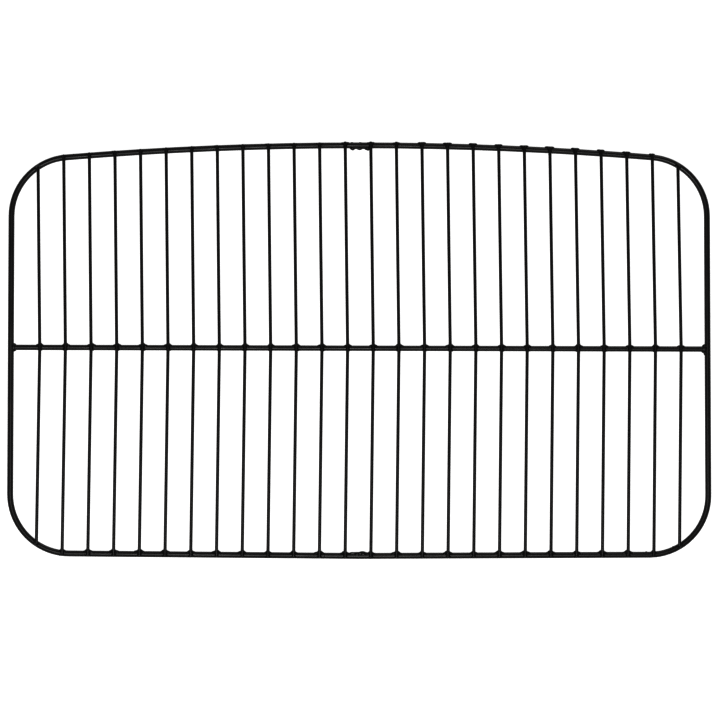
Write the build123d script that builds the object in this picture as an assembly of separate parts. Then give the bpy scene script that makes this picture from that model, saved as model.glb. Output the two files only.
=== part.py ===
from build123d import *

import os

# Welded wire grill grate, lying flat with its cooking rods on top. Sizes are in millimetres.
# X runs along the grate, +Y points to its bowed rear run and +Z is up.
# The origin is under the middle of the grate, on the surface that it lies on.

# Frame, two bent halves of thick round wire
grate_width = 569.6  # over the two sides
grate_depth = 338.0  # over the rear and front runs, measured at their middles
frame_wire = 4.76  # diameter
corner_radius = 48.0  # of the wire's centre line
rear_bow = 13.8  # how far the rear run's middle stands out from a line between its corners
front_bow = 2.4  # the same for the front run, which is straight on each side of its weld, at its left end
front_skew = 1.2  # how much nearer the front its right end stands than its left end

# Cross bar, welded between the sides
bar_wire = 4.3  # diameter, its top level with the frame's top
bar_from_front = 168.1  # from the middle of the front run, between centre lines
bar_skew = 1.4  # how much further back its left end stands than its right end
bar_push = 2.0  # how far it holds the rods over to the right

# Cooking rods, a row across the frame
rod_wire = 2.5  # diameter
rod_pitch = 20.77
least_side_gap = 15.0  # from a side to the nearest rod, between centre lines
rear_overhang = 0.3  # rod ends past the frame's rear edge
front_inset = 0.3  # rod ends short of the frame's front edge

# Seats, where one piece is welded to another
seat_gap = 0.05  # clearance between the pieces

# Weld beads that close the frame, each a row of pointed lumps along the wire's inner edge
lump_pitch = 6.2
lump_radius = 1.2  # at its point
lump_valley = 0.75  # radius between two lumps
rear_lumps = 3
front_lumps = 2

# Places that follow from the sizes, with the middle of the frame's sides and runs at zero
side_x = (grate_width - frame_wire) / 2
run_y = (grate_depth - frame_wire) / 2
bar_y = bar_from_front - run_y
frame_z = frame_wire / 2
bar_z = frame_wire - bar_wire / 2
rod_z = frame_wire + seat_gap + rod_wire / 2
rod_count = int(2 * (side_x - least_side_gap) / rod_pitch) + 1


def round_wire(path, diameter, height):
    """Round wire of one diameter along its centre line, at one height."""
    section = Plane(origin=path @ 0, z_dir=path % 0) * Circle(diameter / 2)
    return Pos(0, 0, height) * sweep(section, path=path, transition=Transition.RIGHT)


def frame_outline():
    """Face that the frame's centre line encloses: two sides, a bowed rear run, a front run and four bends."""
    rear_left, rear_right = ((x, run_y - rear_bow) for x in (-side_x, side_x))
    front_left = (-side_x, front_bow - run_y)
    front_right = (side_x, front_bow - front_skew - run_y)
    rear_run = ThreePointArc(rear_left, (0, run_y), rear_right)
    the_rest = Polyline(rear_right, front_right, (0, -run_y), front_left, rear_left)
    outline = make_face([rear_run, the_rest])
    corners = outline.vertices().filter_by(lambda vertex: abs(vertex.X) > side_x / 2)
    return fillet(corners, corner_radius)


def frame_half(outline, keep):
    """Wire of one half of the frame, cut flat where it butts against the other half in the middle."""
    half = split(outline, bisect_by=Plane.YZ, keep=keep)
    bent_line = half.edges().filter_by(lambda edge: abs(edge.center().X) > frame_wire)
    return split(round_wire(Wire(bent_line), frame_wire, frame_z), bisect_by=Plane.YZ, keep=keep)


def cross_bar():
    """Bar between the sides, a little askew, with its ends coped to seat on the frame's wire."""
    bar_line = Line((-side_x, bar_y + bar_skew / 2), (side_x, bar_y - bar_skew / 2))
    side_wire = Rot(90, 0, 0) * Cylinder(frame_wire / 2 + seat_gap, grate_depth)
    copes = [Pos(x, 0, frame_z) * side_wire for x in (-side_x, side_x)]
    return round_wire(bar_line, bar_wire, bar_z) - copes


def cooking_rod(x, outline, on_bends):
    """Rod across the frame, as long as the outline is deep there, and kinked at the bar."""
    end_x = x - bar_push / 2
    bar_x = x + bar_push / 2
    across = Line((end_x, -grate_depth), (end_x, grate_depth)) & outline
    front, rear = across.vertices().sort_by(Axis.Y)
    front_reach = 0 if on_bends else frame_wire / 2 - front_inset
    rear_reach = 0 if on_bends else frame_wire / 2 + rear_overhang
    rod_line = Polyline((end_x, rear.Y + rear_reach), (bar_x, bar_y), (end_x, front.Y - front_reach))
    return round_wire(rod_line, rod_wire, rod_z)


def weld_bead(y, lumps):
    """Bead along the inner edge of the frame's wire, across the joint of its halves."""
    half_length = lumps * lump_pitch / 2
    crests = [(-half_length, lump_valley)]
    for place in GridLocations(lump_pitch, 0, lumps, 1):
        crest_x = place.position.X
        crests += [(crest_x, lump_radius), (crest_x + lump_pitch / 2, lump_valley)]
    inner_crests = [(x, -reach) for x, reach in reversed(crests)]
    zigzag = extrude(make_face(Polyline(*crests, *inner_crests, close=True)), lump_radius, both=True)
    pointed_row = zigzag & Rot(90, 0, 0) * zigzag
    inner_y = abs(y) - frame_wire / 2 - seat_gap - lump_radius
    inward_turn = 0 if y > 0 else 180
    return Rot(0, 0, inward_turn) * Pos(0, inner_y, frame_z) * pointed_row


outline = frame_outline()

pieces = {
    "frame_left": frame_half(outline, Keep.BOTTOM),
    "frame_right": frame_half(outline, Keep.TOP),
    "rear_weld": weld_bead(run_y, rear_lumps),
    "front_weld": weld_bead(-run_y, front_lumps),
    "cross_bar": cross_bar(),
}
for number in range(rod_count):
    x = (number - (rod_count - 1) / 2) * rod_pitch
    outermost = number in (0, rod_count - 1)
    pieces[f"rod_{number + 1:02d}"] = cooking_rod(x, outline, outermost)

box = Compound(list(pieces.values())).bounding_box()
to_origin = Pos(-box.center().X, -box.center().Y, -box.min.Z)
os.makedirs("parts", exist_ok=True)
for name, piece in pieces.items():
    export_step(to_origin * piece, f"parts/{name}.step")
    print(name, round(piece.volume, 1))
print("overall", box.size)
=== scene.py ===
import logging
import math
import random
from collections.abc import Sequence
from dataclasses import dataclass
from enum import Enum

import bpy
from mathutils import Matrix, Vector


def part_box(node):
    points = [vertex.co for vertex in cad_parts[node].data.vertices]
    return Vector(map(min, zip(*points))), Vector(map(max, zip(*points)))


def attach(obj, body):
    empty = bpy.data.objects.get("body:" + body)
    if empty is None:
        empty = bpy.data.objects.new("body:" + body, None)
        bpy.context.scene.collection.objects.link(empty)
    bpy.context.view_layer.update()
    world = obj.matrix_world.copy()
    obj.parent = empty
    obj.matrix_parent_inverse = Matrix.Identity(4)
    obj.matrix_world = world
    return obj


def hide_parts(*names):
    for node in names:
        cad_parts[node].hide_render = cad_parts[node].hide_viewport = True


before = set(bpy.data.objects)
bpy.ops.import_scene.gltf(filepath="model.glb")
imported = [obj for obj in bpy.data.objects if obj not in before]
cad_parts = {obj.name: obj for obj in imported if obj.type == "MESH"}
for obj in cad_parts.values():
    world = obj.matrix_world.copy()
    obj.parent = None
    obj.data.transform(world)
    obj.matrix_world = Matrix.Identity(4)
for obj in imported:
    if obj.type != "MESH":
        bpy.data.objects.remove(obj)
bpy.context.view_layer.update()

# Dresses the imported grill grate: black enamel on its wires, the weld metal that joins them, and a studio.
# Blender's unit is the metre. Sizes of the pieces are given in millimetres and turned into metres by MM.
# The studio's floor, lights and camera distance are given in metres.

LOG = logging.getLogger("grill_grate")
MM = 0.001
BODY = "root"
STUB_SIDES = 40
DROP_SEGMENTS = 24
DROP_RINGS = 12

Triple = tuple[float, float, float]
Span = tuple[float, float]

ORIGIN: Triple = (0.0, 0.0, 0.0)
ALONG_X: Triple = (0.0, 90.0, 0.0)
ALONG_Y: Triple = (90.0, 0.0, 0.0)


class Row(Enum):
    """The three rows of welds under the cooking rods."""

    REAR = "rear"
    BAR = "bar"
    FRONT = "front"


class Side(Enum):
    """The two sides of the frame, with the way in which each lies from the middle."""

    LEFT = -1
    RIGHT = 1


def select_only(objects: Sequence[bpy.types.Object]) -> None:
    """Select some objects and nothing else, the first of them active.

    Args:
        objects: What the next operator acts on.
    """
    bpy.ops.object.select_all(action="DESELECT")
    for item in objects:
        item.select_set(True)
    bpy.context.view_layer.objects.active = objects[0]


def apply_modifier(target: bpy.types.Object, kind: str, **settings: float | int | str | bool) -> None:
    """Add one modifier to an object and apply it.

    Args:
        target: The object to shape.
        kind: Blender's name for the modifier.
        settings: The modifier's own values.
    """
    modifier = target.modifiers.new(kind.lower(), kind)
    for key, value in settings.items():
        setattr(modifier, key, value)
    select_only([target])
    bpy.ops.object.modifier_apply(modifier=modifier.name)


def join(objects: Sequence[bpy.types.Object], name: str) -> bpy.types.Object:
    """Join objects into one, with its place in its mesh.

    Args:
        objects: The objects to join.
        name: The name of the joined object.

    Returns:
        The joined object.
    """
    select_only(objects)
    bpy.ops.object.join()
    joined = bpy.context.view_layer.objects.active
    bpy.ops.object.transform_apply(location=True, rotation=True, scale=True)
    joined.name = name
    joined.data.name = name
    return joined


def copy_to(source: bpy.types.Object, place: Matrix) -> bpy.types.Object:
    """Copy a modelled shape with its own mesh.

    Args:
        source: The shape, modelled round the origin.
        place: Where the copy goes, and how it is turned or sheared.

    Returns:
        The copy, with its place in its mesh.
    """
    select_only([source])
    bpy.ops.object.duplicate(linked=False)
    copy = bpy.context.view_layer.objects.active
    copy.data.transform(place)
    return copy


def remove(objects: Sequence[bpy.types.Object]) -> None:
    """Delete shapes that were only modelled to be copied."""
    select_only(objects)
    bpy.ops.object.delete()


def stub(diameter: float, length: float, centre: Triple, turn: Triple) -> bpy.types.Object:
    """Add a short length of wire, to be melted together with weld metal.

    Args:
        diameter: Of the wire, in millimetres.
        length: Of the stub, in millimetres.
        centre: Its middle, in millimetres.
        turn: Its rotation, in degrees, from upright.

    Returns:
        The stub.
    """
    bpy.ops.object.select_all(action="DESELECT")
    bpy.ops.mesh.primitive_cylinder_add(
        vertices=STUB_SIDES,
        radius=diameter / 2 * MM,
        depth=length * MM,
        location=Vector(centre) * MM,
        rotation=[math.radians(angle) for angle in turn],
    )
    return bpy.context.view_layer.objects.active


@dataclass(frozen=True)
class Drop:
    """A drop of weld metal, egg-shaped until it is melted into its neighbours. In millimetres."""

    centre: Triple
    reach: Triple

    def add(self, shift: Triple = ORIGIN, swell: float = 1.0) -> bpy.types.Object:
        """Add the drop.

        Args:
            shift: How far from its own centre it goes.
            swell: How much larger than its own reach it is.

        Returns:
            The drop.
        """
        bpy.ops.object.select_all(action="DESELECT")
        bpy.ops.mesh.primitive_uv_sphere_add(
            segments=DROP_SEGMENTS,
            ring_count=DROP_RINGS,
            radius=MM,
            location=(Vector(self.centre) + Vector(shift)) * MM,
            scale=[reach * swell for reach in self.reach],
        )
        return bpy.context.view_layer.objects.active


@dataclass(frozen=True)
class WeldMetal:
    """Melts drops and wire stubs into one weld with hollow fillets. Lengths are in millimetres.

    Stubs are thinner than their wires by a skin on each side, so that they stay hidden inside them.
    """

    voxel: float = 0.26
    ease_steps: int = 8
    ease_factor: float = 0.5
    kept_faces: float = 0.45
    skin: float = 0.06
    least_edge: float = 0.002

    def core(self, wire: float) -> float:
        """Diameter of a stub that hides inside a wire of this diameter."""
        return wire - 2 * self.skin

    def melt(self, shapes: Sequence[bpy.types.Object], name: str, floor_z: float | None) -> bpy.types.Object:
        """Join shapes, melt them together and thin the mesh out.

        Args:
            shapes: Drops and stubs that overlap.
            name: The name of the weld.
            floor_z: Height in millimetres below which the weld is cut off, or None.

        Returns:
            The weld, a closed mesh with smooth shading.
        """
        weld = join(shapes, name)
        apply_modifier(weld, "REMESH", mode="VOXEL", voxel_size=self.voxel * MM)
        apply_modifier(weld, "SMOOTH", factor=self.ease_factor, iterations=self.ease_steps)
        if floor_z is not None:
            self.cut_below(weld, floor_z)
        apply_modifier(weld, "DECIMATE", ratio=self.kept_faces)
        self.clean(weld)
        select_only([weld])
        bpy.ops.object.shade_smooth()
        return weld

    def clean(self, weld: bpy.types.Object) -> None:
        """Take out loose edges, close what is open and turn all faces outwards."""
        select_only([weld])
        bpy.ops.object.mode_set(mode="EDIT")
        bpy.ops.mesh.select_all(action="SELECT")
        bpy.ops.mesh.dissolve_degenerate(threshold=self.least_edge * MM)
        bpy.ops.mesh.delete_loose(use_verts=True, use_edges=True, use_faces=False)
        bpy.ops.mesh.select_all(action="SELECT")
        bpy.ops.mesh.fill_holes(sides=0)
        bpy.ops.mesh.select_all(action="SELECT")
        bpy.ops.mesh.normals_make_consistent(inside=False)
        bpy.ops.object.mode_set(mode="OBJECT")

    def cut_below(self, weld: bpy.types.Object, floor_z: float) -> None:
        """Cut off and close the part of a weld that lies hidden inside the wire.

        Args:
            weld: The weld to cut.
            floor_z: Height of the cut, in millimetres.
        """
        select_only([weld])
        bpy.ops.object.mode_set(mode="EDIT")
        bpy.ops.mesh.select_all(action="SELECT")
        bpy.ops.mesh.bisect(
            plane_co=(0, 0, floor_z * MM),
            plane_no=(0, 0, 1),
            use_fill=True,
            clear_inner=True,
            threshold=self.least_edge * MM,
        )
        bpy.ops.object.mode_set(mode="OBJECT")


class EnamelSkin:
    """Shader group for the skin of fired enamel: orange peel, sags, pits, dull patches and thin spots."""

    NAME = "enamel_skin"
    INPUTS = {"Peel Scale": 650.0, "Glossiest": 0.25, "Dullest": 0.45, "Thin Above": 0.62}
    OUTPUTS = ("Height", "Roughness", "Thin")
    PEEL_DETAIL = 2.0
    SAG_SCALE = 95.0
    SAG_DETAIL = 1.0
    SAG_HEIGHT = 1.6
    PATCH_SCALE = 48.0
    PATCH_DETAIL = 3.0
    PATCH_SPAN: Span = (0.35, 0.65)
    THIN_SCALE = 33.0
    THIN_DETAIL = 4.0
    THIN_CONTRAST = 6.0
    PIT_SCALE = 330.0
    PIT_SPAN: Span = (0.05, 0.16)
    PIT_DEPTH = 0.9

    def __init__(self) -> None:
        """Build the group once."""
        self.tree = bpy.data.node_groups.new(self.NAME, "ShaderNodeTree")
        self._sockets()
        self._nodes()

    def _sockets(self) -> None:
        """Name what goes into the group and what it puts out."""
        interface = self.tree.interface
        interface.new_socket("Vector", in_out="INPUT", socket_type="NodeSocketVector")
        for name, value in self.INPUTS.items():
            socket = interface.new_socket(name, in_out="INPUT", socket_type="NodeSocketFloat")
            socket.default_value = value
        for name in self.OUTPUTS:
            interface.new_socket(name, in_out="OUTPUT", socket_type="NodeSocketFloat")

    def _noise(self, scale: float, detail: float) -> bpy.types.Node:
        """Add a noise texture of one scale and detail."""
        noise = self.tree.nodes.new("ShaderNodeTexNoise")
        noise.inputs["Scale"].default_value = scale
        noise.inputs["Detail"].default_value = detail
        return noise

    def _math(self, operation: str, second: float = 0.0, clamp: bool = False) -> bpy.types.Node:
        """Add a math node, with a number as its second input until something is linked there."""
        node = self.tree.nodes.new("ShaderNodeMath")
        node.operation = operation
        node.inputs[1].default_value = second
        node.use_clamp = clamp
        return node

    def _ramp(self, span: Span) -> bpy.types.Node:
        """Add a map range node that reads one span of values."""
        node = self.tree.nodes.new("ShaderNodeMapRange")
        node.inputs["From Min"].default_value, node.inputs["From Max"].default_value = span
        return node

    def _nodes(self) -> None:
        """Wire the group."""
        nodes = self.tree.nodes
        link = self.tree.links.new
        given = nodes.new("NodeGroupInput")
        made = nodes.new("NodeGroupOutput")
        peel = self._noise(self.INPUTS["Peel Scale"], self.PEEL_DETAIL)
        sag = self._noise(self.SAG_SCALE, self.SAG_DETAIL)
        patch = self._noise(self.PATCH_SCALE, self.PATCH_DETAIL)
        thin = self._noise(self.THIN_SCALE, self.THIN_DETAIL)
        pits = nodes.new("ShaderNodeTexVoronoi")
        pits.inputs["Scale"].default_value = self.PIT_SCALE
        for texture in (peel, sag, patch, thin, pits):
            link(given.outputs["Vector"], texture.inputs["Vector"])
        link(given.outputs["Peel Scale"], peel.inputs["Scale"])

        high_sag = self._math("MULTIPLY", self.SAG_HEIGHT)
        link(sag.outputs["Fac"], high_sag.inputs[0])
        skin = self._math("ADD")
        link(peel.outputs["Fac"], skin.inputs[0])
        link(high_sag.outputs[0], skin.inputs[1])
        pit = self._ramp(self.PIT_SPAN)
        pit.inputs["To Min"].default_value = self.PIT_DEPTH
        pit.inputs["To Max"].default_value = 0.0
        link(pits.outputs["Distance"], pit.inputs["Value"])
        height = self._math("SUBTRACT")
        link(skin.outputs[0], height.inputs[0])
        link(pit.outputs["Result"], height.inputs[1])
        link(height.outputs[0], made.inputs["Height"])

        dull = self._ramp(self.PATCH_SPAN)
        link(patch.outputs["Fac"], dull.inputs["Value"])
        link(given.outputs["Glossiest"], dull.inputs["To Min"])
        link(given.outputs["Dullest"], dull.inputs["To Max"])
        link(dull.outputs["Result"], made.inputs["Roughness"])

        over = self._math("SUBTRACT", clamp=True)
        link(thin.outputs["Fac"], over.inputs[0])
        link(given.outputs["Thin Above"], over.inputs[1])
        mask = self._math("MULTIPLY", self.THIN_CONTRAST, clamp=True)
        link(over.outputs[0], mask.inputs[0])
        link(mask.outputs[0], made.inputs["Thin"])


@dataclass(frozen=True)
class EnamelFinish:
    """Black porcelain enamel on steel, perhaps with one browned spot. Lengths are in millimetres."""

    name: str
    colour: Triple
    thin_colour: Triple
    glossiest: float
    dullest: float
    thin_above: float
    bump: float
    gloss_level: float
    bump_depth: float = 0.08
    peel_scale: float = 650.0
    scorch_at: Triple | None = None
    scorch_reach: float = 16.0
    scorch_strength: float = 0.85

    def material(self, skin: EnamelSkin) -> bpy.types.Material:
        """Make the finish's material.

        Args:
            skin: The shared shader group of the enamel's skin.

        Returns:
            A material on Object coordinates.
        """
        material = bpy.data.materials.new(self.name)
        material.use_nodes = True
        nodes = material.node_tree.nodes
        link = material.node_tree.links.new
        shader = nodes["Principled BSDF"]
        shader.inputs["Specular IOR Level"].default_value = self.gloss_level
        place = nodes.new("ShaderNodeTexCoord")
        layer = nodes.new("ShaderNodeGroup")
        layer.node_tree = skin.tree
        layer.inputs["Peel Scale"].default_value = self.peel_scale
        layer.inputs["Glossiest"].default_value = self.glossiest
        layer.inputs["Dullest"].default_value = self.dullest
        layer.inputs["Thin Above"].default_value = self.thin_above
        link(place.outputs["Object"], layer.inputs["Vector"])
        tint = nodes.new("ShaderNodeMix")
        tint.data_type = "RGBA"
        tint.inputs["A"].default_value = (*self.colour, 1.0)
        tint.inputs["B"].default_value = (*self.thin_colour, 1.0)
        mask = layer.outputs["Thin"]
        if self.scorch_at is not None:
            mask = self._scorched(material, place, mask)
        link(mask, tint.inputs["Factor"])
        link(tint.outputs["Result"], shader.inputs["Base Color"])
        link(layer.outputs["Roughness"], shader.inputs["Roughness"])
        bump = nodes.new("ShaderNodeBump")
        bump.inputs["Strength"].default_value = self.bump
        bump.inputs["Distance"].default_value = self.bump_depth * MM
        link(layer.outputs["Height"], bump.inputs["Height"])
        link(bump.outputs["Normal"], shader.inputs["Normal"])
        return material

    def _scorched(
        self, material: bpy.types.Material, place: bpy.types.Node, mask: bpy.types.NodeSocket
    ) -> bpy.types.NodeSocket:
        """Add a browned spot to the mask of thin enamel.

        Args:
            material: The material to add it to.
            place: Its texture coordinate node.
            mask: The mask without the spot.

        Returns:
            The mask with the spot.
        """
        nodes = material.node_tree.nodes
        link = material.node_tree.links.new
        away = nodes.new("ShaderNodeVectorMath")
        away.operation = "DISTANCE"
        away.inputs[1].default_value = Vector(self.scorch_at) * MM
        link(place.outputs["Object"], away.inputs[0])
        spot = nodes.new("ShaderNodeMapRange")
        spot.interpolation_type = "SMOOTHSTEP"
        spot.inputs["From Max"].default_value = self.scorch_reach * MM
        spot.inputs["To Min"].default_value = self.scorch_strength
        spot.inputs["To Max"].default_value = 0.0
        link(away.outputs["Value"], spot.inputs["Value"])
        both = nodes.new("ShaderNodeMath")
        both.operation = "MAXIMUM"
        link(mask, both.inputs[0])
        link(spot.outputs["Result"], both.inputs[1])
        return both.outputs[0]


ROD_ENAMEL = EnamelFinish(
    name="rod_enamel",
    colour=(0.014, 0.014, 0.014),
    thin_colour=(0.022, 0.02, 0.018),
    glossiest=0.26,
    dullest=0.38,
    thin_above=0.62,
    bump=0.05,
    gloss_level=0.42,
)
FRAME_ENAMEL = EnamelFinish(
    name="frame_enamel",
    colour=(0.018, 0.0175, 0.017),
    thin_colour=(0.036, 0.031, 0.028),
    glossiest=0.3,
    dullest=0.44,
    thin_above=0.6,
    bump=0.12,
    gloss_level=0.46,
    scorch_at=(21.0, -166.5, 3.5),
)
WELD_ENAMEL = EnamelFinish(
    name="weld_enamel",
    colour=(0.012, 0.012, 0.012),
    thin_colour=(0.026, 0.022, 0.02),
    glossiest=0.22,
    dullest=0.42,
    thin_above=0.62,
    bump=0.22,
    gloss_level=0.42,
    peel_scale=900.0,
)


def dress(piece: bpy.types.Object, material: bpy.types.Material) -> None:
    """Give a piece one material and nothing else."""
    piece.data.materials.clear()
    piece.data.materials.append(material)


def mount(piece: bpy.types.Object, material: bpy.types.Material, replaced: Sequence[str] = ()) -> None:
    """Dress a new piece and hang it on the grate's body.

    Args:
        piece: The finished piece.
        material: Its finish.
        replaced: CAD nodes that it stands for.
    """
    dress(piece, material)
    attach(piece, BODY)
    if replaced:
        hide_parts(*replaced)
    LOG.info("%s: %d faces", piece.name, len(piece.data.polygons))


@dataclass
class Wires:
    """The grate's wires, which are CAD nodes: the frame, the bar and the cooking rods. In millimetres.

    The rods from the first to before the second of level_rods, counted from zero, end level with the rear run
    in the photo, so that a shorter copy stands for each.
    """

    frame_nodes: tuple[str, ...] = ("frame_left", "frame_right", "cross_bar")
    rod_count: int = 26
    level_rods: tuple[int, int] = (1, 12)
    level_cut: float = 0.6
    end_rounding: float = 0.7
    end_segments: int = 3
    end_angle: float = 50.0
    flat_angle: float = 0.3
    merge: float = 0.01

    def rods(self) -> list[str]:
        """Names of the rods, from left to right."""
        return [f"rod_{number:02d}" for number in range(1, self.rod_count + 1)]

    def build(self, skin: EnamelSkin) -> None:
        """Enamel the wires and round the cut ends of the rods.

        Args:
            skin: The shared shader group of the enamel's skin.
        """
        frame_enamel = FRAME_ENAMEL.material(skin)
        for name in self.frame_nodes:
            dress(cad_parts[name], frame_enamel)
            LOG.info("%s: enamelled", name)
        rod_enamel = ROD_ENAMEL.material(skin)
        for number, name in enumerate(self.rods()):
            if number in range(*self.level_rods):
                rod = self.level_rod(name)
                mount(rod, rod_enamel, [name])
            else:
                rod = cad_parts[name]
                dress(rod, rod_enamel)
            self.round_ends(rod)
            LOG.info("%s: enamelled, ends rounded", name)

    def level_rod(self, name: str) -> bpy.types.Object:
        """Copy a rod and cut its rear end level with the frame's rear run.

        Args:
            name: The rod's CAD node.

        Returns:
            The shorter rod, a closed mesh with smooth shading.
        """
        _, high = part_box(name)
        rod = bpy.data.objects.new(f"{name}_level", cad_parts[name].data.copy())
        bpy.context.scene.collection.objects.link(rod)
        select_only([rod])
        bpy.ops.object.mode_set(mode="EDIT")
        bpy.ops.mesh.select_all(action="SELECT")
        bpy.ops.mesh.remove_doubles(threshold=self.merge * MM)
        bpy.ops.mesh.dissolve_limited(angle_limit=math.radians(self.flat_angle))
        bpy.ops.mesh.select_all(action="SELECT")
        bpy.ops.mesh.bisect(
            plane_co=(0, high.y - self.level_cut * MM, 0), plane_no=(0, 1, 0), use_fill=True, clear_outer=True
        )
        bpy.ops.object.mode_set(mode="OBJECT")
        bpy.ops.object.shade_smooth()
        return rod

    def round_ends(self, rod: bpy.types.Object) -> None:
        """Round the cut ends of a rod as enamel does, with modifiers that leave its own mesh alone.

        Triangles that make one flat face are joined first, because edges across it hold the bevel back.
        """
        weld = rod.modifiers.new("merge", "WELD")
        weld.merge_threshold = self.merge * MM
        whole = rod.modifiers.new("whole_faces", "DECIMATE")
        whole.decimate_type = "DISSOLVE"
        whole.angle_limit = math.radians(self.flat_angle)
        bevel = rod.modifiers.new("round_ends", "BEVEL")
        bevel.width = self.end_rounding * MM
        bevel.segments = self.end_segments
        bevel.limit_method = "ANGLE"
        bevel.angle_limit = math.radians(self.end_angle)
        rod.modifiers.new("even_shading", "WEIGHTED_NORMAL")


@dataclass
class RodWelds:
    """The welds between the cooking rods and the wires under them, squeezed out towards the rear.

    Lengths are in millimetres. Each rear_flash is how far one variant of the rear run's welds stands out: two
    below zero for the level rods of the left half, one for the middle and two for the right half. Drops stray
    from their places by shares of wander, aside and along the rod.
    """

    wires: Wires
    metal: WeldMetal
    rod_wire: float = 2.5
    frame_wire: float = 4.76
    bar_wire: float = 4.3
    seat_gap: float = 0.05
    rear_overhang: float = 0.3
    front_inset: float = 0.3
    stub_length: float = 9.0
    stub_inset: float = 0.4
    cut_height: float = -0.2
    variants: int = 4
    rear_flash: tuple[float, ...] = (-0.3, -0.15, 0.0, 0.4, 0.6)
    wander: float = 0.22
    aside: Span = (-1.6, 1.6)
    along: Span = (-0.6, 0.4)
    swell: Span = (0.93, 1.06)
    width: Span = (0.88, 1.12)
    width_at_bends: float = 0.68
    seed: int = 11
    slope_step: float = 2.0
    slope_reach: float = 20.0
    corner_radius: float = 48.0
    corner_stub: float = 4.6
    corner_rod_stub: float = 5.0
    corner_rod_inset: float = 0.5

    def drops(self, row: Row) -> tuple[Drop, ...]:
        """Weld metal of one crossing, with the wire along X and the rod along Y.

        Args:
            row: The row that the weld is in.

        Returns:
            The drops, round the wire's centre line.
        """
        r = self.wire_of(row) / 2
        neck = Drop((0.0, 0.0, r), (1.35, 1.7, 0.9))
        if row is Row.REAR:
            return (
                neck,
                Drop((-1.8, 0.78 * r, 0.5 * r), (2.0, 0.75, 1.2)),
                Drop((1.7, 0.78 * r, 0.5 * r), (2.0, 0.75, 1.2)),
                Drop((0.0, 0.78 * r, 0.4 * r), (2.2, 0.75, 1.2)),
                Drop((0.0, 0.6 * r, 0.95 * r), (2.3, 1.0, 0.9)),
                Drop((0.0, -0.55 * r, 0.82 * r), (1.7, 0.9, 0.8)),
            )
        if row is Row.BAR:
            return (
                neck,
                Drop((0.0, 0.8 * r, 0.6 * r), (3.7, 1.35, 1.4)),
                Drop((0.0, 1.1 * r, 0.85 * r), (2.0, 1.5, 1.2)),
                Drop((0.0, -0.75 * r, 0.75 * r), (2.3, 1.1, 1.0)),
            )
        return (
            neck,
            Drop((0.0, 0.72 * r, 0.66 * r), (4.4, 1.6, 1.35)),
            Drop((0.0, 1.05 * r, 1.0 * r), (2.4, 1.7, 1.0)),
            Drop((0.0, -0.55 * r, 0.75 * r), (2.8, 1.0, 1.0)),
        )

    def wire_of(self, row: Row) -> float:
        """Diameter of the wire under the rods in a row."""
        return self.bar_wire if row is Row.BAR else self.frame_wire

    def rod_stub(self, row: Row, cut: float) -> bpy.types.Object:
        """Length of rod over a crossing, as far as the rod itself goes.

        Args:
            row: The row that the weld is in.
            cut: How much shorter the rod's rear end is than its CAD node's.

        Returns:
            The stub, along Y.
        """
        radius = self.wire_of(row) / 2
        rear = self.stub_length / 2
        front = self.stub_length / 2
        if row is Row.REAR:
            rear = radius + self.rear_overhang - self.stub_inset - cut
        elif row is Row.FRONT:
            front = radius - self.front_inset - self.stub_inset
        height = radius + self.seat_gap + self.rod_wire / 2
        core = self.metal.core(self.rod_wire)
        return stub(core, rear + front, (0.0, (rear - front) / 2, height), ALONG_Y)

    def weld_shape(self, row: Row, chance: random.Random, variant: int) -> bpy.types.Object:
        """Model one weld round the origin.

        Args:
            row: The row that the weld is in.
            chance: Source of the differences between welds.
            variant: Its number, counted from zero. On the rear run, a higher one stands out further.

        Returns:
            The shape, with the wire along X and the rod along Y.
        """
        core = self.metal.core(self.wire_of(row))
        flash = self.rear_flash[variant] if row is Row.REAR else 0.0
        cut = self.wires.level_cut if flash < 0 else 0.0
        shapes = [stub(core, self.stub_length, ORIGIN, ALONG_X), self.rod_stub(row, cut)]
        for drop in self.drops(row):
            aside = chance.uniform(*self.aside) * self.wander
            along = chance.uniform(*self.along) * self.wander + (flash if drop.centre[1] > 0 else 0.0)
            shapes.append(drop.add((aside, along, 0.0), chance.uniform(*self.swell)))
        return self.metal.melt(shapes, f"{row.value}_weld_{variant}", self.cut_height)

    def pick(self, row: Row, number: int, chance: random.Random) -> int:
        """Choose a weld's variant. The rear run's welds stand out on its right half.

        Args:
            row: The row that the weld is in.
            number: The rod's number, counted from zero.
            chance: Source of the choice.

        Returns:
            The number of the variant.
        """
        if row is not Row.REAR:
            return chance.randrange(self.variants)
        past_middle = number - len(self.wires.rods()) // 2
        either = chance.randrange(2)
        if number in range(*self.wires.level_rods):
            return either
        return 2 + min(max(past_middle, 0) // 2, 1 + either)

    def place(self, row: Row, number: int) -> Matrix:
        """Where a weld of a row goes.

        Args:
            row: The row that the weld is in.
            number: The rod's number, counted from zero.

        Returns:
            A move and a shear that lets the wire follow its run while the rod stays along Y.
        """
        low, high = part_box(self.wires.rods()[number])
        if row is Row.BAR:
            x = high.x - self.rod_wire / 2 * MM
            y, slope = self.bar_line(x)
            z = (self.frame_wire - self.bar_wire / 2) * MM
        else:
            x = low.x + self.rod_wire / 2 * MM
            y = self.run_y(row, number)
            z = self.frame_wire / 2 * MM
            slope = self.run_slope(row, Vector((x, y, z)))
        shear = Matrix(((1, 0, 0, 0), (slope, 1, 0, 0), (0, 0, 1, 0), (0, 0, 0, 1)))
        return Matrix.Translation((x, y, z)) @ shear

    def run_y(self, row: Row, number: int) -> float:
        """Depth of the run's centre line under a rod, from where the rod ends."""
        low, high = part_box(self.wires.rods()[number])
        if row is Row.REAR:
            return high.y - (self.frame_wire / 2 + self.rear_overhang) * MM
        return low.y + (self.frame_wire / 2 - self.front_inset) * MM

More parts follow.
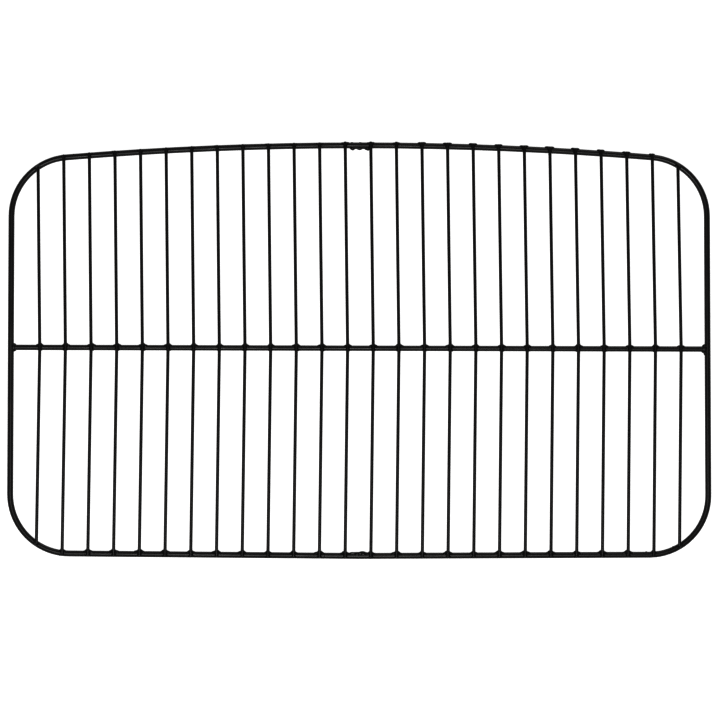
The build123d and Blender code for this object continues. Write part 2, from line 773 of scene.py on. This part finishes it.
    def run_slope(self, row: Row, place: Vector) -> float:
        """Slope of a run in plan, from two points on the outer edge of its CAD mesh.

        Args:
            row: The rear or the front row.
            place: A point on the run's centre line, in metres.

        Returns:
            The run's rise in Y for its length in X.
        """
        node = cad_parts["frame_left" if place.x < 0 else "frame_right"]
        outwards = self.slope_reach if row is Row.REAR else -self.slope_reach
        edge = []
        for aside in (-self.slope_step, self.slope_step):
            _, spot, _, _ = node.closest_point_on_mesh(place + Vector((aside, outwards, 0.0)) * MM)
            edge.append(spot)
        return (edge[1].y - edge[0].y) / (edge[1].x - edge[0].x)

    def bar_line(self, x: float) -> tuple[float, float]:
        """Depth of the bar's centre line at x, and its slope."""
        low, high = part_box("cross_bar")
        slope = -(high.y - low.y - self.bar_wire * MM) / (high.x - low.x)
        return (low.y + high.y) / 2 + slope * x, slope

    def bend_angle(self, x: float) -> float:
        """Angle in degrees between a bend and its run in plan, where the bend's centre line passes x."""
        _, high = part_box("frame_right")
        bend_x = high.x - (self.frame_wire / 2 + self.corner_radius) * MM
        return math.degrees(math.asin((abs(x) - bend_x) / (self.corner_radius * MM)))

    def build_row(self, row: Row, material: bpy.types.Material) -> None:
        """Model a row's welds once for each variant and copy them along the row.

        Args:
            row: The row to build.
            material: The finish of the welds.
        """
        chance = random.Random(f"{row.value} {self.seed}")
        variants = len(self.rear_flash) if row is Row.REAR else self.variants
        shapes = [self.weld_shape(row, chance, variant) for variant in range(variants)]
        numbers = range(len(self.wires.rods()))
        if row is not Row.BAR:
            numbers = numbers[1:-1]
        welds = []
        for number in numbers:
            width = chance.uniform(*self.width)
            if row is not Row.BAR and number in (numbers[0], numbers[-1]):
                width = self.width_at_bends
            wider = Matrix.Diagonal((width, 1.0, 1.0, 1.0))
            shape = shapes[self.pick(row, number, chance)]
            welds.append(copy_to(shape, self.place(row, number) @ wider))
        remove(shapes)
        mount(join(welds, f"{row.value}_rod_welds"), material)

    def build_corners(self, material: bpy.types.Material) -> None:
        """Model the welds of the outermost rods, whose ends lie on the bends.

        Args:
            material: The finish of the welds.
        """
        welds = []
        for name, side in ((self.wires.rods()[0], Side.LEFT), (self.wires.rods()[-1], Side.RIGHT)):
            low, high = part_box(name)
            x = low.x + self.rod_wire / 2 * MM
            for end_y, to_rear in ((high.y, 1), (low.y, -1)):
                weld = self.corner_weld(side, to_rear, self.bend_angle(x))
                weld.data.transform(Matrix.Translation((x, end_y, self.frame_wire / 2 * MM)))
                welds.append(weld)
        mount(join(welds, "corner_rod_welds"), material)

    def corner_weld(self, side: Side, to_rear: int, bend: float) -> bpy.types.Object:
        """Model the weld of one end of an outermost rod, round the origin.

        Args:
            side: The side of the frame that the rod is next to.
            to_rear: 1 for the rod's rear end, -1 for its front end.
            bend: Angle in degrees between the bend and its run.

        Returns:
            The shape, with the rod along Y.
        """
        r = self.frame_wire / 2
        height = r + self.seat_gap + self.rod_wire / 2
        turn = -side.value * to_rear * bend
        rod_y = -to_rear * (self.corner_rod_stub / 2 + self.corner_rod_inset)
        shapes = [
            stub(self.metal.core(self.frame_wire), self.corner_stub, ORIGIN, (0.0, 90.0, turn)),
            stub(self.metal.core(self.rod_wire), self.corner_rod_stub, (0.0, rod_y, height), ALONG_Y),
            Drop((0.0, -to_rear * 0.5, r), (1.5, 1.8, 1.0)).add(),
            Drop((side.value * 1.5, -to_rear * 1.9, 0.85 * r), (1.3, 1.6, 1.2)).add(),
            Drop((-side.value * 1.2, -to_rear * 0.7, 0.9 * r), (1.3, 1.1, 0.9)).add(),
        ]
        return self.metal.melt(shapes, "corner_weld", self.cut_height)

    def build(self, material: bpy.types.Material) -> None:
        """Build the three rows and the corners."""
        for row in Row:
            self.build_row(row, material)
        self.build_corners(material)


@dataclass
class FrameBeads:
    """The weld beads that close the frame at the middle of its rear and front runs."""

    metal: WeldMetal
    frame_wire: float = 4.76
    seat_gap: float = 0.05
    stub_length: float = 21.0
    rear_drops: tuple[Drop, ...] = (
        Drop((0.4, -2.2, 0.5), (9.3, 0.9, 1.5)),
        Drop((-5.4, -2.7, 0.6), (2.1, 1.3, 1.5)),
        Drop((-5.2, -3.4, 0.5), (1.0, 0.9, 0.9)),
        Drop((0.3, -2.7, 0.5), (2.3, 1.2, 1.5)),
        Drop((0.5, -3.2, 0.4), (1.1, 0.8, 0.9)),
        Drop((6.6, -2.8, 0.6), (2.4, 1.3, 1.6)),
        Drop((7.2, -3.6, 0.7), (1.1, 0.9, 1.0)),
        Drop((8.6, -2.8, 1.5), (1.3, 1.2, 1.3)),
        Drop((-5.8, 2.0, 0.7), (1.4, 0.6, 0.9)),
        Drop((0.9, 2.0, 0.8), (1.3, 0.6, 0.8)),
    )
    front_drops: tuple[Drop, ...] = (
        Drop((0.4, 2.0, 0.6), (9.6, 1.3, 1.5)),
        Drop((-5.6, 2.3, 0.7), (2.6, 0.9, 1.2)),
        Drop((2.6, 2.4, 0.9), (3.1, 1.5, 1.5)),
        Drop((3.2, 1.4, 1.9), (1.9, 1.3, 0.8)),
        Drop((-1.6, 1.2, 2.0), (1.5, 1.1, 0.6)),
        Drop((8.3, 2.3, 1.3), (1.6, 1.2, 1.2)),
    )

    def build(self, material: bpy.types.Material) -> None:
        """Build both beads, each in the place of its CAD solid.

        Args:
            material: The finish of the welds.
        """
        for node, drops, inward in (
            ("rear_weld", self.rear_drops, -1),
            ("front_weld", self.front_drops, 1),
        ):
            low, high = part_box(node)
            edge = high.y if inward < 0 else low.y
            run_y = edge - inward * (self.frame_wire / 2 + self.seat_gap) * MM
            centre = Vector(((low.x + high.x) / 2, run_y, (low.z + high.z) / 2))
            shapes = [stub(self.metal.core(self.frame_wire), self.stub_length, ORIGIN, ALONG_X)]
            shapes += [drop.add() for drop in drops]
            bead = self.metal.melt(shapes, f"{node}_bead", None)
            bead.data.transform(Matrix.Translation(centre))
            mount(bead, material, [node])


@dataclass
class BarEndWelds:
    """The welds that hold the ends of the cross bar between the sides, the right one larger."""

    metal: WeldMetal
    frame_wire: float = 4.76
    bar_wire: float = 4.3
    side_stub: float = 14.0
    bar_stub: float = 8.0
    small_drops: tuple[Drop, ...] = (
        Drop((2.9, 2.0, 0.2), (1.5, 1.4, 1.5)),
        Drop((2.9, -2.0, 0.0), (1.4, 1.3, 1.4)),
        Drop((2.2, 0.2, 1.9), (1.5, 2.2, 0.8)),
    )
    large_drops: tuple[Drop, ...] = (
        Drop((3.0, 2.3, 0.6), (1.5, 1.5, 1.5)),
        Drop((2.6, 3.1, 0.5), (0.8, 0.9, 1.1)),
        Drop((3.1, -1.9, 0.0), (2.1, 1.3, 1.6)),
        Drop((2.4, -3.3, 0.0), (0.9, 1.8, 1.4)),
        Drop((2.4, 0.3, 1.9), (1.9, 2.3, 0.8)),
    )

    def build(self, rod_welds: RodWelds, material: bpy.types.Material) -> None:
        """Build the weld at each end of the bar.

        Args:
            rod_welds: The rows of rod welds, which know the bar's line.
            material: The finish of the welds.
        """
        low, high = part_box("cross_bar")
        r = self.frame_wire / 2
        bar_rise = (self.frame_wire - self.bar_wire) / 2
        for side, end_x, drops in (
            (Side.LEFT, low.x, self.small_drops),
            (Side.RIGHT, high.x, self.large_drops),
        ):
            inward = -side.value
            bar_place = (inward * self.bar_stub / 2, 0.0, bar_rise)
            shapes = [
                stub(self.metal.core(self.frame_wire), self.side_stub, ORIGIN, ALONG_Y),
                stub(self.metal.core(self.bar_wire), self.bar_stub, bar_place, ALONG_X),
            ]
            for drop in drops:
                x, y, z = drop.centre
                shapes.append(Drop((inward * x, y, z), drop.reach).add())
            weld = self.metal.melt(shapes, f"bar_end_weld_{side.name.lower()}", None)
            side_x = self.side_line(side)
            y, _ = rod_welds.bar_line(end_x)
            weld.data.transform(Matrix.Translation((side_x, y, r * MM)))
            mount(weld, material)

    def side_line(self, side: Side) -> float:
        """X of a side's centre line at the bar, from the CAD mesh of that side."""
        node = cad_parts[f"frame_{side.name.lower()}"]
        bar_y = sum(corner.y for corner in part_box("cross_bar")) / 2
        start = Vector((side.value, bar_y, self.frame_wire / 2 * MM))
        _, outer, _, _ = node.closest_point_on_mesh(start)
        return outer.x - side.value * self.frame_wire / 2 * MM


@dataclass
class Spatter:
    """Drops of weld metal that stuck to the frame and were enamelled over. In millimetres.

    Those seen in the photo are given by their place in plan and their radius, the strays by spans.
    """

    seed: int = 5
    subdivisions: int = 2
    flatness: float = 0.6
    seen_height: float = 3.2
    seen: tuple[Triple, ...] = (
        (232.0, -161.5, 0.75),
        (253.3, -158.3, 0.7),
        (220.0, -162.2, 0.6),
        (255.9, 152.2, 0.8),
        (-232.0, 158.2, 0.6),
        (118.0, 163.4, 0.55),
    )
    strays: int = 46
    stray_rods: tuple[int, int] = (2, 24)
    stray_aside: Span = (2.6, 4.5)
    stray_along: Span = (-2.0, 2.0)
    stray_height: float = 2.0
    stray_width: Span = (0.45, 0.8)

    def frame_node(self, x: float) -> bpy.types.Object:
        """The half of the frame that lies on one side of the middle."""
        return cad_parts["frame_left" if x < 0 else "frame_right"]

    def drop_at(self, node: bpy.types.Object, near: Vector, size: float) -> bpy.types.Object:
        """Stick one drop to the nearest place on a wire.

        Args:
            node: The wire's CAD node.
            near: A point near the place, in metres.
            size: The drop's width, in millimetres.

        Returns:
            The drop, flattened against the wire.
        """
        _, spot, normal, _ = node.closest_point_on_mesh(near)
        bpy.ops.object.select_all(action="DESELECT")
        bpy.ops.mesh.primitive_ico_sphere_add(subdivisions=self.subdivisions, radius=size / 2 * MM)
        drop = bpy.context.view_layer.objects.active
        flat = Matrix.Diagonal((1.0, 1.0, self.flatness, 1.0))
        outwards = normal.to_track_quat("Z", "Y").to_matrix().to_4x4()
        drop.data.transform(Matrix.Translation(spot) @ outwards @ flat)
        return drop

    def build(self, rod_welds: RodWelds, material: bpy.types.Material) -> None:
        """Build the drops that the photo shows and small stray ones near the welds.

        Args:
            rod_welds: The rows of rod welds, which know where the welds are.
            material: The finish of the welds.
        """
        chance = random.Random(self.seed)
        drops = []
        for x, y, radius in self.seen:
            near = Vector((x * MM, y * MM, self.seen_height * MM))
            drops.append(self.drop_at(self.frame_node(x), near, radius * 2))
        for _ in range(self.strays):
            row = chance.choice(list(Row))
            number = chance.randrange(*self.stray_rods)
            centre = rod_welds.place(row, number).translation
            aside = chance.choice((-1, 1)) * chance.uniform(*self.stray_aside)
            near = centre + Vector((aside, chance.uniform(*self.stray_along), self.stray_height)) * MM
            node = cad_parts["cross_bar"] if row is Row.BAR else self.frame_node(centre.x)
            drops.append(self.drop_at(node, near, chance.uniform(*self.stray_width)))
        select_only(drops)
        bpy.ops.object.shade_smooth()
        mount(join(drops, "weld_spatter"), material)


@dataclass(frozen=True)
class Softbox:
    """A square soft light that points at the grate. In metres and watts."""

    name: str
    place: Triple
    size: float
    power: float

    def add(self) -> None:
        """Hang the light."""
        lamp = bpy.data.lights.new(self.name, "AREA")
        lamp.size = self.size
        lamp.energy = self.power
        box = bpy.data.objects.new(self.name, lamp)
        box.location = self.place
        box.rotation_euler = (-Vector(self.place)).to_track_quat("-Z", "Y").to_euler()
        bpy.context.scene.collection.objects.link(box)


@dataclass
class Studio:
    """Pale floor, soft light and the camera above the grate.

    The floor lies floor_drop millimetres under the grate, and aim is in millimetres too. Other lengths are in
    metres, apart from the lens. The print is made hard, with a low gamma, as the photo is.
    """

    floor_size: float = 9.0
    floor_drop: float = 0.05
    floor_colour: Triple = (0.3, 0.3, 0.3)
    floor_roughness: float = 0.9
    floor_gloss: float = 0.1
    floor_glow: float = 0.88
    sky_strength: float = 0.36
    softboxes: tuple[Softbox, ...] = (
        Softbox("front_softbox", (-0.1, -0.5, 1.5), 0.7, 19.0),
        Softbox("rear_softbox", (0.4, 1.5, 0.5), 0.9, 7.0),
    )
    lens: float = 154.3
    distance: float = 2.5
    sight: float = 20.0
    tilt: float = 2.5
    print_gamma: float = 0.56
    aim: Triple = (0.65, -8.27, 4.0)

    def build(self) -> None:
        """Set the stage."""
        self.add_floor()
        self.add_light()
        self.add_camera()

    def add_floor(self) -> None:
        """Lay a plain floor with a little glow of its own, so that shadows stay faint."""
        bpy.ops.object.select_all(action="DESELECT")
        bpy.ops.mesh.primitive_plane_add(size=self.floor_size, location=(0, 0, -self.floor_drop * MM))
        floor = bpy.context.view_layer.objects.active
        floor.name = "floor"
        paint = bpy.data.materials.new("floor_paint")
        paint.use_nodes = True
        shader = paint.node_tree.nodes["Principled BSDF"]
        shader.inputs["Base Color"].default_value = (*self.floor_colour, 1.0)
        shader.inputs["Roughness"].default_value = self.floor_roughness
        shader.inputs["Specular IOR Level"].default_value = self.floor_gloss
        shader.inputs["Emission Color"].default_value = (1.0, 1.0, 1.0, 1.0)
        shader.inputs["Emission Strength"].default_value = self.floor_glow
        dress(floor, paint)

    def add_light(self) -> None:
        """Light the grate from all round, from above its front and, lower down, from its rear."""
        world = bpy.data.worlds.new("studio_sky")
        world.use_nodes = True
        sky = world.node_tree.nodes["Background"]
        sky.inputs["Color"].default_value = (1.0, 1.0, 1.0, 1.0)
        sky.inputs["Strength"].default_value = self.sky_strength
        bpy.context.scene.world = world
        for softbox in self.softboxes:
            softbox.add()

    def add_camera(self) -> None:
        """Hang the camera over the grate, a little towards its front."""
        data = bpy.data.cameras.new("camera")
        data.lens = self.lens
        data.clip_end = self.sight
        camera = bpy.data.objects.new("camera", data)
        aim = Vector(self.aim) * MM
        lean = math.radians(self.tilt)
        back = Vector((0.0, -math.sin(lean), math.cos(lean)))
        camera.location = aim + back * self.distance
        camera.rotation_euler = (lean, 0.0, 0.0)
        bpy.context.scene.collection.objects.link(camera)
        bpy.context.scene.camera = camera
        bpy.context.scene.view_settings.view_transform = "Standard"
        bpy.context.scene.view_settings.gamma = self.print_gamma


def main() -> None:
    """Build the grate's looks and its studio."""
    logging.basicConfig(level=logging.INFO, format="%(name)s: %(message)s")
    skin = EnamelSkin()
    wires = Wires()
    wires.build(skin)
    weld_enamel = WELD_ENAMEL.material(skin)
    metal = WeldMetal()
    rod_welds = RodWelds(wires, metal)
    rod_welds.build(weld_enamel)
    FrameBeads(metal).build(weld_enamel)
    BarEndWelds(metal).build(rod_welds, weld_enamel)
    Spatter().build(rod_welds, weld_enamel)
    Studio().build()


if __name__ == "__main__":
    main()
